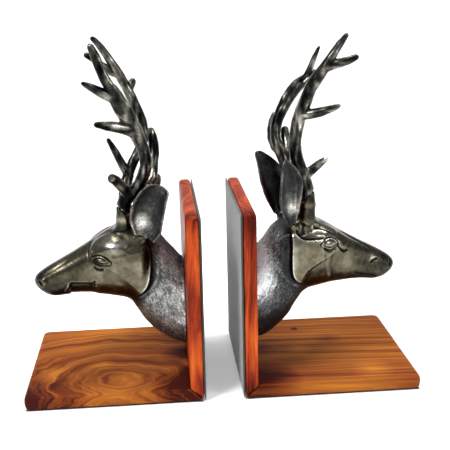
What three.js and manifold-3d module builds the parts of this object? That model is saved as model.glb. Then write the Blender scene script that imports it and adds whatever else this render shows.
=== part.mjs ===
// A pair of stag-head bookends. Each unit is an L of two polished hardwood boards, mitred, glued and
// screwed at the corner, with a hollow-cast bronze stag's head bolted to the inside of its upright.
// The antlers are cast apart and stand on steel studs in the pedicles, and the ears are brazed on.
// Millimetres, +Z up. The origin is on the floor, midway between the two units and under the book.
import * as THREE from 'three';
import { mergeVertices } from 'three/addons/utils/BufferGeometryUtils.js';
import Module from 'manifold-3d';

const wasm = await Module();
wasm.setup();

// ---------- driving dimensions ----------
const BOOK_SPACE = 33.2; // between the two lined faces
const DEPTH = 150; // front to back, both boards
const BASE_LENGTH = 160; // from the book side of the upright to the free end
const UPRIGHT_HEIGHT = 171;
const BOARD = 12; // board thickness
const FELT_BOOK = 2; // lining on the book side
const FELT_BASE = 1.5; // pad under the base
const GLUE = 0.3; // clearance between pieces that touch
const CORNER_RADIUS = 4; // rounded corners of the boards
const EDGE = 1.2; // eased long edges
const WALL = 3.5; // thickness of the hollow casting

// ---------- derived places, in the frame of one unit: +X away from the book, +Y the stag's left ----------
const BOOK_FACE = BOOK_SPACE / 2 + FELT_BOOK;
const INNER_FACE = BOOK_FACE + BOARD;
const BASE_END = BOOK_FACE + BASE_LENGTH;
const FLOOR_OF_WOOD = FELT_BASE;
const BASE_TOP = FELT_BASE + BOARD;
const UPRIGHT_TOP = FELT_BASE + UPRIGHT_HEIGHT;

// ---------- fasteners ----------
const SCREW = { radius: 3, length: 24, headRadius: 5.5, headHeight: 3.2, heights: [46, 92] };
const WASHER = { outer: 6.6, inner: 3.4, thickness: 1.2 };
const COUNTERBORE = { radius: 7.2, depth: 5 };
const CORNER_SCREW = { radius: 2, length: 32, headRadius: 4, height: 7.5, spread: 50, count: 3 };
const STUD = { radius: 2.5, length: 18 };
const BRIDGE = { depth: 12, height: 15 }; // bars across the hollow neck that take the head screws

const Y = new THREE.Vector3(0, 1, 0);
const Z = new THREE.Vector3(0, 0, 1);
const vec = (x, y, z) => new THREE.Vector3(x, y, z);

// ---------- solids ----------
function solid(geometry) {
  const bare = geometry.clone();
  bare.deleteAttribute('normal');
  bare.deleteAttribute('uv');
  const merged = mergeVertices(bare, 1e-4);
  const vertProperties = new Float32Array(merged.attributes.position.array);
  const triVerts = new Uint32Array(merged.index.array);
  return new wasm.Manifold(new wasm.Mesh({ numProp: 3, vertProperties, triVerts }));
}

function geometryOf(manifold) {
  const mesh = manifold.getMesh();
  const geometry = new THREE.BufferGeometry();
  geometry.setAttribute('position', new THREE.BufferAttribute(new Float32Array(mesh.vertProperties), 3));
  geometry.setIndex(new THREE.BufferAttribute(new Uint32Array(mesh.triVerts), 1));
  return geometry;
}

function box(low, high) {
  const size = vec(high[0] - low[0], high[1] - low[1], high[2] - low[2]);
  const geometry = new THREE.BoxGeometry(size.x, size.y, size.z);
  geometry.translate(low[0] + size.x / 2, low[1] + size.y / 2, low[2] + size.z / 2);
  return solid(geometry);
}

// A cylinder or cone frustum from one point to another.
function rod(from, to, radius, endRadius = radius, sides = 12) {
  const along = to.clone().sub(from);
  const geometry = new THREE.CylinderGeometry(endRadius, radius, along.length(), sides);
  const turn = new THREE.Quaternion().setFromUnitVectors(Y, along.clone().normalize());
  geometry.applyQuaternion(turn);
  geometry.translate(...from.clone().addScaledVector(along, 0.5).toArray());
  return solid(geometry);
}

// Turns the faces of a closed skin outwards if they were wound the other way.
function facingOut(points, index) {
  let volume = 0;
  for (let k = 0; k < index.length; k += 3) {
    const [a, b, c] = [points[index[k]], points[index[k + 1]], points[index[k + 2]]];
    volume += a.dot(b.clone().cross(c));
  }
  return volume < 0 ? index.slice().reverse() : index;
}

// A closed skin over a row of rings with equally many points, closed by a point at each end.
function skin(rings, startPoint, endPoint) {
  const count = rings[0].length;
  const points = [startPoint, ...rings.flat(), endPoint];
  const index = [];
  for (let k = 0; k < count; k += 1) {
    const next = (k + 1) % count;
    index.push(0, 1 + next, 1 + k);
    for (let ring = 0; ring < rings.length - 1; ring += 1) {
      const a = 1 + ring * count;
      const b = a + count;
      index.push(a + k, a + next, b + next, a + k, b + next, b + k);
    }
    const last = 1 + (rings.length - 1) * count;
    index.push(last + k, last + next, points.length - 1);
  }
  const geometry = new THREE.BufferGeometry().setFromPoints(points);
  geometry.setIndex(facingOut(points, index));
  return solid(geometry);
}

// Everything beyond a plane, as a large block, for cutting a seat.
function beyond(point, normal, reach = 60) {
  const geometry = new THREE.BoxGeometry(2 * reach, 2 * reach, 2 * reach);
  geometry.applyQuaternion(new THREE.Quaternion().setFromUnitVectors(Z, normal));
  geometry.translate(...point.clone().addScaledVector(normal, reach).toArray());
  return solid(geometry);
}

// ---------- wooden boards ----------
// A side outline drawn in X and Z, as thick as the unit is deep.
function acrossDepth(outline) {
  const shape = new THREE.Shape(outline.map(([x, z]) => new THREE.Vector2(x, z)));
  const geometry = new THREE.ExtrudeGeometry(shape, { depth: DEPTH, bevelEnabled: false });
  geometry.rotateX(Math.PI / 2);
  geometry.translate(0, DEPTH / 2, 0);
  return solid(geometry);
}

// A rectangle from zero to length, with its two far corners rounded.
function roundedPlate(length) {
  const half = DEPTH / 2;
  const shape = new THREE.Shape();
  shape.moveTo(-1, -half);
  shape.lineTo(length - CORNER_RADIUS, -half);
  shape.absarc(length - CORNER_RADIUS, -half + CORNER_RADIUS, CORNER_RADIUS, -Math.PI / 2, 0);
  shape.absarc(length - CORNER_RADIUS, half - CORNER_RADIUS, CORNER_RADIUS, 0, Math.PI / 2);
  shape.lineTo(-1, half);
  return new THREE.ExtrudeGeometry(shape, { depth: 2 * BOARD, bevelEnabled: false, curveSegments: 8 });
}

function cornerScrewRows() {
  const middle = (CORNER_SCREW.count - 1) / 2;
  return Array.from({ length: CORNER_SCREW.count }, (_, row) => (row - middle) * CORNER_SCREW.spread);
}

function cornerScrewClearance(y) {
  const from = vec(BOOK_FACE - 1, y, CORNER_SCREW.height);
  const mouth = vec(BOOK_FACE + CORNER_SCREW.headRadius - CORNER_SCREW.radius, y, CORNER_SCREW.height);
  const end = vec(BOOK_FACE + CORNER_SCREW.length + 1, y, CORNER_SCREW.height);
  const sink = rod(from, mouth, CORNER_SCREW.headRadius + 1 + GLUE, CORNER_SCREW.radius + GLUE);
  return sink.add(rod(from, end, CORNER_SCREW.radius + GLUE));
}

function baseBoard() {
  const mitre = GLUE / 2;
  const outline = [
    [BOOK_FACE + mitre + EDGE, FLOOR_OF_WOOD],
    [BASE_END - EDGE, FLOOR_OF_WOOD],
    [BASE_END, FLOOR_OF_WOOD + EDGE],
    [BASE_END, BASE_TOP - EDGE],
    [BASE_END - EDGE, BASE_TOP],
    [INNER_FACE + mitre, BASE_TOP],
    [BOOK_FACE + mitre + EDGE, FLOOR_OF_WOOD + EDGE],
  ];
  const plan = roundedPlate(BASE_LENGTH);
  plan.translate(BOOK_FACE, 0, 0);
  const board = acrossDepth(outline).intersect(solid(plan));
  return cornerScrewRows().reduce((left, y) => left.subtract(cornerScrewClearance(y)), board);
}

function uprightBoard() {
  const mitre = GLUE / 2;
  const outline = [
    [BOOK_FACE, FLOOR_OF_WOOD + mitre + EDGE],
    [INNER_FACE, BASE_TOP + mitre],
    [INNER_FACE, UPRIGHT_TOP - EDGE],
    [INNER_FACE - EDGE, UPRIGHT_TOP],
    [BOOK_FACE + EDGE, UPRIGHT_TOP],
    [BOOK_FACE, UPRIGHT_TOP - EDGE],
  ];
  const face = roundedPlate(UPRIGHT_HEIGHT);
  face.rotateY(-Math.PI / 2);
  face.translate(INNER_FACE + BOARD / 2, 0, FLOOR_OF_WOOD);
  const board = acrossDepth(outline).intersect(solid(face));
  const screwed = cornerScrewRows().reduce((left, y) => left.subtract(cornerScrewClearance(y)), board);
  return SCREW.heights.reduce((left, z) => left.subtract(headScrewClearance(z)), screwed);
}

function headScrewClearance(z) {
  const from = vec(BOOK_FACE - 1, 0, z);
  const bottom = vec(BOOK_FACE + COUNTERBORE.depth, 0, z);
  const through = vec(INNER_FACE + SCREW.length, 0, z);
  return rod(from, bottom, COUNTERBORE.radius).add(rod(from, through, SCREW.radius + GLUE));
}

// ---------- felt ----------
function baseFelt() {
  const inset = 1.5;
  const half = DEPTH / 2 - inset;
  return box([BOOK_FACE + inset, -half, 0], [BASE_END - inset, half, FELT_BASE - GLUE / 3]);
}

function bookFelt() {
  const inset = 0.8;
  const half = DEPTH / 2 - inset;
  const face = BOOK_FACE - FELT_BOOK;
  return box([face, -half, FLOOR_OF_WOOD + inset], [BOOK_FACE - GLUE / 3, half, UPRIGHT_TOP - inset]);
}

// ---------- steel fasteners ----------
function headScrew(z) {
  const seat = BOOK_FACE + COUNTERBORE.depth - WASHER.thickness - 2 * GLUE / 3;
  const top = seat - SCREW.headHeight;
  const head = rod(vec(top, 0, z), vec(seat, 0, z), SCREW.headRadius - 0.8, SCREW.headRadius);
  const shank = rod(vec(top + 1, 0, z), vec(seat + SCREW.length, 0, z), SCREW.radius);
  const slot = box([top - 1, -SCREW.headRadius - 1, z - 0.6], [top + 1.4, SCREW.headRadius + 1, z + 0.6]);
  return head.add(shank).subtract(slot);
}

function washer(z) {
  const back = BOOK_FACE + COUNTERBORE.depth - GLUE / 3;
  const front = back - WASHER.thickness;
  const disc = rod(vec(front, 0, z), vec(back, 0, z), WASHER.outer);
  return disc.subtract(rod(vec(front - 1, 0, z), vec(back + 1, 0, z), WASHER.inner));
}

function cornerScrew(y) {
  const { radius, headRadius, length, height } = CORNER_SCREW;
  const start = BOOK_FACE + GLUE;
  const neck = start + headRadius - radius;
  const head = rod(vec(start, y, height), vec(neck, y, height), headRadius, radius);
  const shank = rod(vec(start + 1, y, height), vec(BOOK_FACE + length - 4, y, height), radius);
  const tip = rod(vec(BOOK_FACE + length - 4, y, height), vec(BOOK_FACE + length, y, height), radius, 0.6);
  const reach = headRadius + 1;
  const slot = box([start - 1, y - reach, height - 0.5], [start + 1, y + reach, height + 0.5]);
  return head.add(shank).add(tip).subtract(slot);
}

// ---------- head and neck ----------
// Cross sections from the foot at the upright to the nose, for a head that looks straight ahead.
// Each is [top reach, top height, bottom reach, bottom height, half width, share of the height below the
// widest place]. Reach is measured from the upright's inner face, height from the floor.
const HEAD_SECTIONS = [
  [0.3, 112, 0.3, 28, 29, 0.5],
  [6, 119, 11, 31, 28.5, 0.5],
  [11, 125, 21, 36.5, 27.5, 0.5],
  [16, 131, 31, 45, 26.5, 0.5],
  [21, 138, 39, 55, 25.5, 0.5],
  [27, 144, 45, 65.5, 25.5, 0.52],
  [35, 149, 50.5, 74.5, 28.5, 0.53],
  [46, 151.5, 56, 77.5, 29.5, 0.55],
  [57, 150, 63, 79, 29.5, 0.58],
  [66, 146, 71, 80.5, 28.5, 0.6],
  [75, 141, 80, 81.7, 26, 0.62],
  [85, 134.5, 89, 82, 22, 0.6],
  [95, 128.5, 97, 82.5, 19, 0.57],
  [106, 122, 105, 82.5, 17, 0.55],
  [116, 116.5, 113, 82, 15.5, 0.52],
  [125, 111, 120.5, 81, 14.5, 0.5],
  [132, 106, 128, 83, 13, 0.5],
  [137, 101.5, 134, 88, 10, 0.5],
  [139.3, 97.5, 137.8, 92.5, 5, 0.5],
];
const RING_POINTS = 20;
const SQUARENESS = 2.25; // 2 is an ellipse, more is boxier
const HEAD_PIVOT = vec(INNER_FACE + 38, 0, 110); // where the neck turns into the skull
const TURN_STARTS = 2; // first section that turns with the head
const TURN_ENDS = 7; // first section that turns all the way
const HOLLOW_ENDS = 11; // last section that the hollow reaches

// The turn, tilt and stretch of the head, for a section or a point that follows it by a given share.
function poseOf(pose, share, point) {
  const moved = point.clone().sub(HEAD_PIVOT);
  moved.x *= 1 + (pose.reach - 1) * share;
  moved.applyAxisAngle(Y, THREE.MathUtils.degToRad(pose.tilt * share));
  moved.applyAxisAngle(Z, THREE.MathUtils.degToRad(pose.turn * share));
  return moved.add(HEAD_PIVOT);
}

function headRing(section, inset) {
  const [topReach, topHeight, bottomReach, bottomHeight, halfWidth, share] = section;
  const bottom = vec(INNER_FACE + bottomReach, 0, bottomHeight);
  const rise = vec(INNER_FACE + topReach, 0, topHeight).sub(bottom);
  const height = rise.length();
  rise.normalize();
  const above = height * (1 - share) - inset;
  const below = height * share - inset;
  const centre = bottom.addScaledVector(rise, height * share);
  return Array.from({ length: RING_POINTS }, (_, k) => {
    const angle = (2 * Math.PI * k) / RING_POINTS;
    const side = Math.sign(Math.cos(angle)) * Math.abs(Math.cos(angle)) ** (2 / SQUARENESS);
    const up = Math.sign(Math.sin(angle)) * Math.abs(Math.sin(angle)) ** (2 / SQUARENESS);
    const point = centre.clone().addScaledVector(rise, up * (up > 0 ? above : below));
    return point.addScaledVector(Y, side * (halfWidth - inset));
  });
}

function middleOf(ring) {
  return ring.reduce((sum, point) => sum.add(point), vec(0, 0, 0)).divideScalar(ring.length);
}

function headLoft(pose, inset, last) {
  const rings = HEAD_SECTIONS.slice(0, last + 1).map((section, place) => {
    const share = THREE.MathUtils.smoothstep(place, TURN_STARTS, TURN_ENDS);
    return headRing(section, inset).map((point) => poseOf(pose, share, point));
  });
  if (inset > 0) {
    rings[0].forEach((point) => point.add(vec(-1, 0, 0)));
  }
  return skin(rings, middleOf(rings[0]), middleOf(rings[rings.length - 1]));
}

function bridge(outside, z) {
  const half = BRIDGE.height / 2;
  const bar = box([INNER_FACE + GLUE, -40, z - half], [INNER_FACE + BRIDGE.depth, 40, z + half]);
  return bar.intersect(outside);
}

function headCasting(spec) {
  const outside = headLoft(spec.pose, 0, HEAD_SECTIONS.length - 1);
  let casting = outside.subtract(headLoft(spec.pose, WALL, HOLLOW_ENDS));
  for (const z of SCREW.heights) {
    casting = casting.add(bridge(outside, z)).subtract(headScrewClearance(z));
  }
  for (const antler of spec.antlers) {
    const { foot, seat, normal, radius } = antler.pedicle;
    const column = rod(foot, seat.clone().addScaledVector(Z, 1.5 * radius), radius + 1, radius);
    casting = casting.add(column.subtract(beyond(seat, normal)));
    casting = casting.subtract(studClearance(antler.pedicle));
  }
  for (const ear of spec.ears) {
    const { foot, seat, normal, radius } = ear.boss;
    const column = rod(foot, seat.clone().addScaledVector(normal, radius), radius);
    casting = casting.add(column.subtract(beyond(seat, normal)));
  }
  return casting;
}

// ---------- antlers ----------
const TINE_SIDES = 8;
const TINE_STEP = 10; // spacing of the rings along a beam or tine

function tineRing(centre, tangent, wide, thick) {
  const flat = Y.clone().addScaledVector(tangent, -Y.dot(tangent)).normalize();
  const broad = flat.clone().cross(tangent).normalize();
  return Array.from({ length: TINE_SIDES }, (_, k) => {
    const angle = (2 * Math.PI * (k + 0.5)) / TINE_SIDES;
    const point = centre.clone().addScaledVector(broad, wide * Math.cos(angle));
    return point.addScaledVector(flat, thick * Math.sin(angle));
  });
}

// A beam or tine through points [reach, side, height, radius, flattening].
function tine(points) {
  const places = points.map(([reach, side, height]) => vec(INNER_FACE + reach, side, height));
  const curve = new THREE.CatmullRomCurve3(places, false, 'centripetal');
  const spans = points.length - 1;
  const steps = Math.max(3, Math.round(curve.getLength() / TINE_STEP));
  const rings = [];
  for (let step = 0; step <= steps; step += 1) {
    const along = (step / steps) * spans;
    const from = Math.min(Math.floor(along), spans - 1);
    const mix = along - from;
    const radius = THREE.MathUtils.lerp(points[from][3], points[from + 1][3], mix);
    const flattening = THREE.MathUtils.lerp(points[from][4] ?? 1, points[from + 1][4] ?? 1, mix);
    const t = step / steps;
    rings.push(tineRing(curve.getPoint(t), curve.getTangent(t), radius, radius * flattening));
  }
  const tip = curve.getPoint(1).addScaledVector(curve.getTangent(1), 0.8 * points[spans][3]);
  return skin(rings, curve.getPoint(0), tip);
}

function studClearance({ seat, normal }) {
  const half = STUD.length / 2 + 0.5;
  const from = seat.clone().addScaledVector(normal, -half);
  return rod(from, seat.clone().addScaledVector(normal, half), STUD.radius + GLUE);
}

function antler({ pedicle, tines }) {
  const { seat, normal } = pedicle;
  const joined = tines.map(tine).reduce((sum, piece) => sum.add(piece));
  const underside = seat.clone().addScaledVector(normal, GLUE);
  const below = beyond(underside, normal.clone().negate());
  return joined.subtract(below).subtract(studClearance(pedicle));
}

function stud({ seat, normal }) {
  const half = STUD.length / 2;
  const from = seat.clone().addScaledVector(normal, -half);
  return rod(from, seat.clone().addScaledVector(normal, half), STUD.radius);
}

// ---------- ears ----------
const EAR_ROWS = 8;
const EAR_COLUMNS = 6;
const EAR_THICKNESS = 2.2;

// The half width of a leaf at a place along it, from values spaced evenly from root to tip.
function widthAt(values, place) {
  const at = place * (values.length - 1);
  const from = Math.min(Math.floor(at), values.length - 2);
  return THREE.MathUtils.lerp(values[from], values[from + 1], at - from);
}

// A leaf rolled into a cup. It opens towards +face, and its back is one thickness behind.
function ear({ boss, tip, face, front, rear, cup, curl, dish }) {
  const root = boss.seat.clone().addScaledVector(boss.normal, GLUE);
  const along = tip.clone().sub(root);
  const length = along.length();
  along.normalize();
  const open = face.clone().addScaledVector(along, -face.dot(along)).normalize();
  const across = along.clone().cross(open).normalize();
  const forward = across.x < 0 ? across.negate() : across;
  const rings = [];
  for (let row = 0; row <= EAR_ROWS; row += 1) {
    const place = row / EAR_ROWS;
    const widest = Math.max(widthAt(front, place), widthAt(rear, place));
    const centre = root.clone().addScaledVector(along, place * length);
    centre.addScaledVector(open, curl * place * place - dish * Math.sin(Math.PI * place));
    const inner = [];
    const outer = [];
    for (let column = 0; column <= EAR_COLUMNS; column += 1) {
      const side = (2 * column) / EAR_COLUMNS - 1;
      const width = side > 0 ? widthAt(front, place) : widthAt(rear, place);
      const hollow = cup * (widest / 16) * side ** 2;
      const point = centre.clone().addScaledVector(forward, width * side).addScaledVector(open, hollow);
      inner.push(point);
      outer.push(point.clone().addScaledVector(open, -EAR_THICKNESS));
    }
    rings.push([...inner, ...outer.reverse()]);
  }
  const leaf = skin(rings, middleOf(rings[0]), middleOf(rings[EAR_ROWS]));
  const shank = rod(boss.seat, root.clone().addScaledVector(along, 10), boss.radius, 2.5);
  const below = beyond(root, boss.normal.clone().negate());
  return leaf.add(shank).subtract(below);
}

// ---------- the two units ----------
const SEAT_LEAN = vec(-0.61, 0, 0.79).normalize(); // the antlers' joint faces lean back
const at = (reach, side, height) => vec(INNER_FACE + reach, side, height);

function pedicleAt(reach, side, height, radius) {
  const foot = at(reach + 1, 0.8 * side, height - 28);
  return { foot, seat: at(reach, side, height), normal: SEAT_LEAN, radius };
}

function earBoss(reach, side, height) {
  const seat = at(reach, side, height);
  const foot = at(reach + 7, 0.4 * side, height - 13);
  return { foot, seat, normal: seat.clone().sub(foot).normalize(), radius: 5 };
}

// Side is positive to the stag's left. Antlers run from the pedicle to the tips.
const LEFT_UNIT = {
  pose: { turn: 5, tilt: -2.2, reach: 0.98 },
  antlers: [
    {
      pedicle: pedicleAt(53.5, 14, 166, 7),
      tines: [
        [[53.5, 13, 156, 7], [53, 15, 172, 7], [42, 20, 184, 5.8], [35, 24, 195, 5.7], [31, 27, 208, 5.5],
          [32, 31, 222, 5.5], [37, 35, 236, 6.2, 0.8], [43, 38, 250, 7.5, 0.65], [51, 42, 266, 7.8, 0.6],
          [57, 45, 279, 5.2, 0.65]],
        [[45, 18, 177, 5], [51, 21, 186, 4.8], [58, 26, 195, 4.6], [62, 30, 199, 4.2]],
        [[37, 35, 238, 5.2], [49, 40, 244, 5, 0.9], [59, 44, 246, 4.4], [71, 50, 249, 2.4]],
        [[53, 43, 268, 4.4, 0.8], [66, 46, 276, 3.8], [73, 48, 280, 3], [80, 50, 284, 1.5]],
        [[55, 44, 274, 4.6, 0.8], [63, 44, 290, 4.6, 0.8], [68, 41, 304, 3.9, 0.9], [72, 40, 313.5, 2.7]],
      ],
    },
    {
      pedicle: pedicleAt(52.5, -14, 162, 7),
      tines: [
        [[52.5, -13, 151, 7], [52.5, -15, 170, 6.6], [50, -19, 185, 5.4], [44, -25, 200, 5],
          [36, -29, 214, 4.8], [32, -33, 226, 5], [35, -37, 242, 5], [41, -42, 257, 4.9], [46, -46, 268, 4.7],
          [54, -44, 284, 4.4], [63, -43, 299, 3.9], [71, -42, 311, 3.1], [76, -40, 316, 2.2]],
        [[53, -44, 281, 3.6], [59, -44, 283, 3.4], [67, -41, 290, 3.1], [76, -39, 297, 2.8],
          [82, -36, 301, 2.6]],
        [[45, -45, 265, 3.6], [42, -48, 270, 3.4], [40, -50, 275, 3]],
        [[49, -17, 171, 5.4], [36, -18, 176, 5.4], [27, -20, 183, 5.2], [25, -28, 197, 5.2],
          [23, -35, 210, 5.2], [24, -42, 220, 4.8], [26, -50, 227, 3.6]],
        [[48, -21, 190, 4.4], [55, -18, 204, 3.8], [60, -15, 216, 3.1], [65, -12, 226, 2.1]],
      ],
    },
  ],
  ears: [
    {
      boss: earBoss(35, 23, 141), tip: at(17, 37, 192), face: vec(0.25, 0.95, 0), cup: 8, curl: 3, dish: 2,
      front: [5, 15.5, 18.7, 18.5, 16, 10.5], rear: [8, 13, 12.5, 10.5, 8.5, 7],
    },
    {
      boss: earBoss(38, -23, 142), tip: at(19, -36, 186), face: vec(0.57, -0.82, 0), cup: 8, curl: 3, dish: 2,
      front: [5, 13, 15, 13, 9, 3], rear: [6, 11, 12, 10.5, 8, 4],
    },
  ],
};

const RIGHT_UNIT = {
  pose: { turn: 5, tilt: 0.3, reach: 1.015 },
  antlers: [
    {
      pedicle: pedicleAt(54, -14, 172, 7.5),
      tines: [
        [[54, -13, 161, 7.4], [53, -15, 178, 7.2], [48, -20, 192, 6.2], [43, -24, 206, 5.9],
          [40, -27, 221, 5.8], [41, -31, 235, 5.8], [43, -35, 248, 5.8], [47, -39, 260, 5.5],
          [52, -42, 274, 5.4], [59, -46, 285, 5.2], [64, -50, 293, 4.2, 0.9]],
        [[48, -18, 187, 4.3], [57, -22, 197, 4], [63, -26, 203, 3.4], [68, -30, 208, 2]],
        [[43, -36, 249, 4.8], [54, -41, 250, 4.5], [64, -45, 253, 3.6], [75, -48, 257, 1.8]],
        [[61, -49, 289, 4.2], [69, -49, 301, 3.7], [75, -47, 309, 3], [81, -46, 316, 1.9]],
        [[61, -48, 289, 4.4], [72, -51, 293, 4], [80, -53, 295, 3.4], [88, -54, 298, 2.3]],
      ],
    },
    {
      pedicle: pedicleAt(50, 14, 173, 7.5),
      tines: [
        [[50, 13, 162, 7.4], [47.5, 14, 179, 6.8], [40, 16, 191, 5.4], [35, 21, 206, 5.2], [31, 26, 217, 5],
          [32, 31, 228, 5], [37, 35, 241, 5.3], [44, 40, 252, 6.2, 0.75], [54, 45, 264, 6.4, 0.7],
          [62, 49, 271, 4, 0.8]],
        [[37, 20, 203, 4.8], [30, 30, 212, 4.7], [29, 38, 220, 4.6], [31, 46, 230, 4.2], [35, 52, 237, 3.4]],
        [[38, 19, 198, 4.8], [43, 27, 206, 4.7], [42, 34, 216, 4.5], [42, 40, 225, 3.8]],
        [[57, 47, 266, 3.8], [66, 48, 276, 3], [70, 46, 288, 2.4], [76, 44, 301, 1.5]],
        [[56, 46, 263, 3.6], [66, 45, 270, 3.1], [71, 42, 279, 2.1]],
      ],
    },
  ],
  ears: [
    {
      boss: earBoss(38, -23, 146), tip: at(29, -36, 210), face: vec(0.57, -0.82, 0), cup: 8, curl: 3, dish: 2,
      front: [4, 9, 13, 15, 11, 2], rear: [5, 11, 14, 13, 9, 2.5],
    },
    {
      boss: earBoss(33, 23, 146), tip: at(14, 37, 205), face: vec(0.26, 0.97, 0), cup: 8, curl: 3, dish: 2,
      front: [4, 12, 17, 17, 12, 2.5], rear: [4, 7, 8, 7, 4.5, 2.5],
    },
  ],
};

// ---------- assembly ----------
const finish = (color, roughness, metalness) => () => (
  new THREE.MeshStandardMaterial({ color, roughness, metalness })
);
const bronze = finish(0x4a4336, 0.38, 0.9);
const wood = finish(0x8a4a26, 0.35, 0);
const felt = finish(0x16130f, 0.95, 0);
const steel = finish(0xa8a8a4, 0.35, 1);

function named(name, manifold, material) {
  const mesh = new THREE.Mesh(geometryOf(manifold), material());
  mesh.name = name;
  return mesh;
}

// The first antler and ear of a spec are the front ones, the second are the rear ones.
function bookend(prefix, spec) {
  const unit = new THREE.Group();
  const add = (name, manifold, material) => unit.add(named(`${prefix}_${name}`, manifold, material));
  add('base_board', baseBoard(), wood);
  add('upright_board', uprightBoard(), wood);
  add('base_felt', baseFelt(), felt);
  add('upright_felt', bookFelt(), felt);
  add('head_casting', headCasting(spec), bronze);
  ['front', 'rear'].forEach((side, place) => {
    add(`${side}_antler`, antler(spec.antlers[place]), bronze);
    add(`${side}_antler_stud`, stud(spec.antlers[place].pedicle), steel);
    add(`${side}_ear`, ear(spec.ears[place]), bronze);
  });
  ['lower', 'upper'].forEach((level, place) => {
    add(`${level}_head_screw`, headScrew(SCREW.heights[place]), steel);
    add(`${level}_head_screw_washer`, washer(SCREW.heights[place]), steel);
  });
  cornerScrewRows().forEach((y, place) => add(`corner_screw_${place + 1}`, cornerScrew(y), steel));
  return unit;
}

const pair = new THREE.Group();
const leftUnit = bookend('left', LEFT_UNIT);
leftUnit.rotation.z = Math.PI; // the left unit faces the other way, so its left antler is the front one
pair.add(leftUnit, bookend('right', RIGHT_UNIT));

export default pair;
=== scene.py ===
"""The looks of a pair of stag-head bookends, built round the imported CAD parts.

Every length that is typed here is in millimetres and every Blender object is in metres. A unit has its own
axes: reach away from the upright board, side towards the stag's left, and height above the floor.
"""

import itertools
import math

import bmesh
import bpy
import numpy as np
from mathutils import Matrix, Vector


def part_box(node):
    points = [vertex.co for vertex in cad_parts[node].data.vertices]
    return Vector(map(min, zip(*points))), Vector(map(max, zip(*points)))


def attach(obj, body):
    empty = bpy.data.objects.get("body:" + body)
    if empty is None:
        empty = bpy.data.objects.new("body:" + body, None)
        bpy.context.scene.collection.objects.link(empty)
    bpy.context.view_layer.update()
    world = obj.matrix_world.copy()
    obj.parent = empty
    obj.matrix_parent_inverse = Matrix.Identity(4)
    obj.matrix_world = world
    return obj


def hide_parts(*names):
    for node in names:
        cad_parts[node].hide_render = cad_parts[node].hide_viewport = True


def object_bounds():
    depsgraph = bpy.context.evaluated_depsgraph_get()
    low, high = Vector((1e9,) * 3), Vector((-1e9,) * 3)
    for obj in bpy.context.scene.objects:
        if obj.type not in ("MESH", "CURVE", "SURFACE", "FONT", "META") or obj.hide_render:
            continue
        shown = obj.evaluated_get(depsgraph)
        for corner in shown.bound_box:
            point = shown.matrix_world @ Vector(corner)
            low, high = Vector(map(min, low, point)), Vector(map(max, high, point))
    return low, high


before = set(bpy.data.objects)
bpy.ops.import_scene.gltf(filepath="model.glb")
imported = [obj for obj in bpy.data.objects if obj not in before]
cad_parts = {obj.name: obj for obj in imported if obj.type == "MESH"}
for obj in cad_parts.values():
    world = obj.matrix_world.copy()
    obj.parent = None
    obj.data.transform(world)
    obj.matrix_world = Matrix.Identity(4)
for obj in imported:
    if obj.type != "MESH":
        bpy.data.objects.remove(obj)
cad_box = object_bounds()

MM = 0.001
INNER_FACE = 1000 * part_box("right_upright_board")[1].x  # the upright's face that carries the head
BOOK_FACE = 1000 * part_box("right_upright_board")[0].x
UNDERSIDE = 1000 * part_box("right_base_board")[0].z
OUTWARD = {"left": -1, "right": 1}  # the way a unit's reach runs along X
UNITS = ("left", "right")

# ---------- working meshes, and how each head is carried ----------
HEAD_VOXEL = 0.75
ANTLER_VOXEL = 0.7
EAR_VOXEL = 0.55
BOARD_VOXEL = 1.5
PIVOT = np.array([INNER_FACE + 38, 0, 110])  # where the neck turns into the skull
HEAD_POSES = {  # degrees about the pivot, and how long the head is against its own drawing
    "left": {"turn": 5, "tilt": -2.2, "reach": 0.98},
    "right": {"turn": 5, "tilt": 0.3, "reach": 1.015},
}
NOSE_LENGTHENING = 2.2
HEAD_FAIRING = 14  # rounds of smoothing over the whole head
SKULL_FAIRING = 130
PEDICLE_SMOOTHING = 170
ANTLER_FAIRING = 36
BOARD_ROUNDING = 10
HAIR_STROKES = 1500
HAIR_POLE = np.array([52, 175])  # the neck's hair fans away from here, in reach and height


# ---------- numbers on points ----------
def smoothstep(low, high, value):
    t = np.clip((value - low) / (high - low), 0, 1)
    return t * t * (3 - 2 * t)


def noise(points, size, seed):
    """Smooth random values from -1 to 1, in lumps of a given size."""
    cells = 32
    lattice = np.random.default_rng(seed).uniform(-1, 1, (cells, cells, cells))
    place = points / size + 0.5 * cells
    base = np.floor(place).astype(int)
    t = place - base
    t = t * t * (3 - 2 * t)
    total = np.zeros(len(points))
    for corner in itertools.product((0, 1), repeat=3):
        index = (base + corner) % cells
        weight = np.prod(np.where(np.array(corner, bool), t, 1 - t), axis=1)
        total += weight * lattice[tuple(index.T)]
    return total


def curve_through(points, per=8):
    """A smooth line through given points."""
    p = np.array(points, float)
    if len(p) < 3:
        return p
    padded = np.vstack([2 * p[0] - p[1], p, 2 * p[-1] - p[-2]])
    t = np.linspace(0, 1, per, endpoint=False)[:, None]
    spans = []
    for a, b, c, d in zip(padded, padded[1:], padded[2:], padded[3:]):
        bend = 2 * a - 5 * b + 4 * c - d
        spans.append(b + 0.5 * t * ((c - a) + t * (bend + t * (3 * (b - c) + d - a))))
    return np.vstack([*spans, p[-1:]])


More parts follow.
